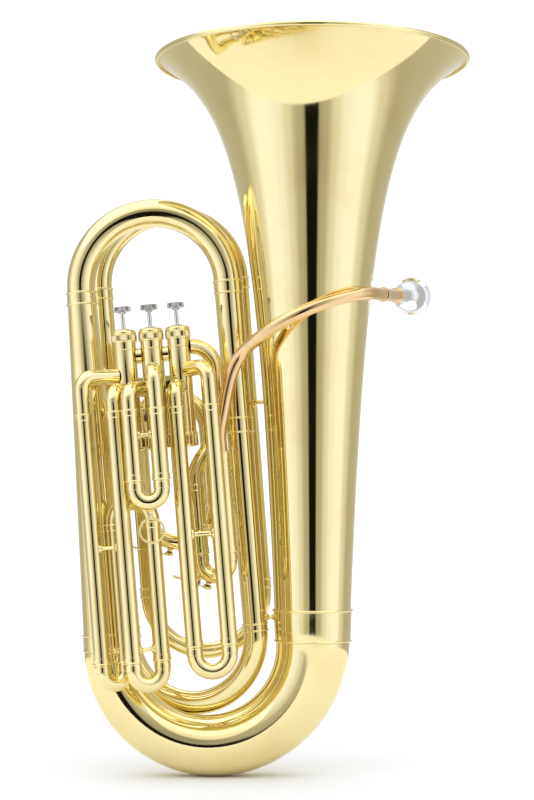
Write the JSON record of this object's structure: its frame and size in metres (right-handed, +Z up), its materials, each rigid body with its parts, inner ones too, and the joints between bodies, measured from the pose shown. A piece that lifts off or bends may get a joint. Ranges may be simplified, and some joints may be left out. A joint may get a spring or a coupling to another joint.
{
  "type": "tuba",
  "caption": "Bell-up brass tuba with top-action piston valves, pull slides, water keys and a pull-off mouthpiece.",
  "frame": {"origin": "under the centre of the bottom bow, level with its lowest point, which rests in the player's lap", "axes": "+Z up the bell axis to the rim, +X from the branches towards the bell, -Y towards the side that the slides are on"},
  "size_m": [0.4736, 0.37, 0.837],
  "materials": {
    "lacquered_brass": "clear lacquer over polished brass",
    "rose_brass": "clear lacquer over polished rose brass",
    "nickel_silver": "polished",
    "silver_plate": "polished silver plate",
    "spring_steel": "bright wire",
    "cork": "dark natural cork",
    "felt": "wool felt"
  },
  "bodies": {
    "root": {"bell": "lacquered_brass", "bottom_bow": "lacquered_brass", "left_front_branch": "lacquered_brass", "front_top_bow": "lacquered_brass", "right_front_branch": "lacquered_brass", "inner_bottom_bow": "lacquered_brass", "left_back_branch": "lacquered_brass", "back_top_bow": "lacquered_brass", "right_back_branch": "lacquered_brass", "back_crook": "lacquered_brass", "rear_riser": "lacquered_brass", "rear_crook": "lacquered_brass", "branch_ferrules": "lacquered_brass", "valve_casing_1": "lacquered_brass", "valve_casing_2": "lacquered_brass", "valve_casing_3": "lacquered_brass", "valve_knuckles": "lacquered_brass", "valve_spring_1": "spring_steel", "valve_spring_2": "spring_steel", "valve_spring_3": "spring_steel", "top_caps": "lacquered_brass", "bottom_caps": "lacquered_brass", "cap_felts": "felt", "first_slide_elbows": "lacquered_brass", "second_slide_elbows": "lacquered_brass", "third_slide_elbows": "lacquered_brass", "first_slide_sleeves": "lacquered_brass", "second_slide_sleeves": "lacquered_brass", "third_slide_sleeves": "lacquered_brass", "third_slide_return": "lacquered_brass", "main_slide_sleeves": "lacquered_brass", "slide_braces": "lacquered_brass", "body_braces": "lacquered_brass", "entry_bend": "lacquered_brass", "leadpipe": "rose_brass", "receiver": "rose_brass", "rear_key_saddle": "lacquered_brass", "rear_key_spring": "spring_steel"},
    "piston_1": {"piston_1": "nickel_silver", "stem_1": "nickel_silver", "button_1": "silver_plate"},
    "piston_2": {"piston_2": "nickel_silver", "stem_2": "nickel_silver", "button_2": "silver_plate"},
    "piston_3": {"piston_3": "nickel_silver", "stem_3": "nickel_silver", "button_3": "silver_plate"},
    "first_slide": {"first_slide": "lacquered_brass"},
    "second_slide": {"second_slide": "lacquered_brass", "pull_ring": "lacquered_brass"},
    "third_slide_long": {"third_slide_long": "lacquered_brass"},
    "third_slide_short": {"third_slide_short": "lacquered_brass"},
    "main_tuning_slide": {"main_tuning_slide": "lacquered_brass", "main_key_saddle": "lacquered_brass", "main_key_spring": "spring_steel"},
    "main_key": {"main_key_lever": "lacquered_brass", "main_key_cork": "cork"},
    "rear_key": {"rear_key_lever": "lacquered_brass", "rear_key_cork": "cork"},
    "mouthpiece": {"mouthpiece": "silver_plate"}
  },
  "joints": [
    {"name": "valve_1_press", "type": "slide", "parent": "root", "child": "piston_1", "axis": [0.0802, 0, -0.9968], "range_m": [0, 0.017], "stiffness_N_per_m": 160, "springref_m": -0.02, "deforming": ["valve_spring_1"]},
    {"name": "valve_2_press", "type": "slide", "parent": "root", "child": "piston_2", "axis": [0.0802, 0, -0.9968], "range_m": [0, 0.017], "stiffness_N_per_m": 160, "springref_m": -0.02, "deforming": ["valve_spring_2"]},
    {"name": "valve_3_press", "type": "slide", "parent": "root", "child": "piston_3", "axis": [0.0802, 0, -0.9968], "range_m": [0, 0.017], "stiffness_N_per_m": 160, "springref_m": -0.02, "deforming": ["valve_spring_3"]},
    {"name": "first_slide_pull", "type": "slide", "parent": "root", "child": "first_slide", "axis": [0.0802, 0, -0.9968], "range_m": [0, 0.1]},
    {"name": "second_slide_pull", "type": "slide", "parent": "root", "child": "second_slide", "axis": [0.0802, 0, -0.9968], "range_m": [0, 0.04]},
    {"name": "third_long_pull", "type": "slide", "parent": "root", "child": "third_slide_long", "axis": [0.0802, 0, -0.9968], "range_m": [0, 0.1]},
    {"name": "third_short_pull", "type": "slide", "parent": "root", "child": "third_slide_short", "axis": [0.0802, 0, -0.9968], "range_m": [0, 0.1]},
    {"name": "main_tuning_pull", "type": "slide", "parent": "root", "child": "main_tuning_slide", "axis": [0.0802, 0, -0.9968], "range_m": [0, 0.06]},
    {"name": "main_key_open", "type": "hinge", "parent": "main_tuning_slide", "child": "main_key", "pos_m": [-0.02427, -0.02726, 0.22236], "axis": [0.3213, 0.9466, 0.0259], "range_deg": [0, 14], "stiffness_Nm_per_rad": 0.02, "springref_deg": -34.38},
    {"name": "rear_key_open", "type": "hinge", "parent": "root", "child": "rear_key", "pos_m": [-0.07084, 0.005, 0.25774], "axis": [0, 1, 0], "range_deg": [0, 14], "stiffness_Nm_per_rad": 0.02, "springref_deg": -34.38},
    {"name": "mouthpiece_pull", "type": "slide", "parent": "root", "child": "mouthpiece", "axis": [0.3409, 0.9367, 0.0797], "range_m": [0, 0.03]}
  ]
}
